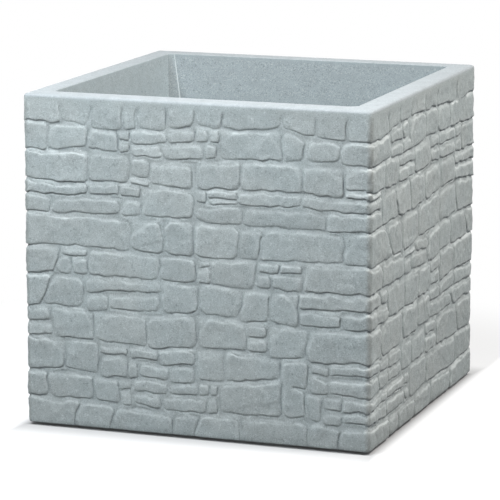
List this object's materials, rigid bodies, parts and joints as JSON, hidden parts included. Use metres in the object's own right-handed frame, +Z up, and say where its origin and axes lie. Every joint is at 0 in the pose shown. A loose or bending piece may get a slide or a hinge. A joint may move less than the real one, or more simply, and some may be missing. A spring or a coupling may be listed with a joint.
{
  "type": "square garden planter",
  "caption": "Square double-walled planter with dry-stone relief walls, a flat rim, a tapered planting space, lift-out drain plugs and push-in feet.",
  "frame": {"origin": "on the ground below the middle of the planter", "axes": "+X to the right along the front wall, +Y to the back, +Z up"},
  "size_m": [0.4, 0.4, 0.37],
  "materials": {
    "moulded_stone": "matt blue-grey polyethylene with fine light and dark granite speckles",
    "plug_plastic": "plain matt grey polyethylene",
    "rubber": "dark soft rubber"
  },
  "bodies": {
    "planter": {"body": "moulded_stone", "foot_front_left": "rubber", "foot_front_right": "rubber", "foot_back_left": "rubber", "foot_back_right": "rubber", "vent_plug": "plug_plastic"},
    "plug_front_left": {"drain_plug_front_left": "plug_plastic", "plug_seal_front_left": "rubber"},
    "plug_front_right": {"drain_plug_front_right": "plug_plastic", "plug_seal_front_right": "rubber"},
    "plug_back_left": {"drain_plug_back_left": "plug_plastic", "plug_seal_back_left": "rubber"},
    "plug_back_right": {"drain_plug_back_right": "plug_plastic", "plug_seal_back_right": "rubber"}
  },
  "joints": [
    {"name": "plug_lift_front_left", "type": "slide", "parent": "planter", "child": "plug_front_left", "axis": [0, 0, 1], "range_m": [0, 0.045]},
    {"name": "plug_lift_front_right", "type": "slide", "parent": "planter", "child": "plug_front_right", "axis": [0, 0, 1], "range_m": [0, 0.045]},
    {"name": "plug_lift_back_left", "type": "slide", "parent": "planter", "child": "plug_back_left", "axis": [0, 0, 1], "range_m": [0, 0.045]},
    {"name": "plug_lift_back_right", "type": "slide", "parent": "planter", "child": "plug_back_right", "axis": [0, 0, 1], "range_m": [0, 0.045]}
  ]
}
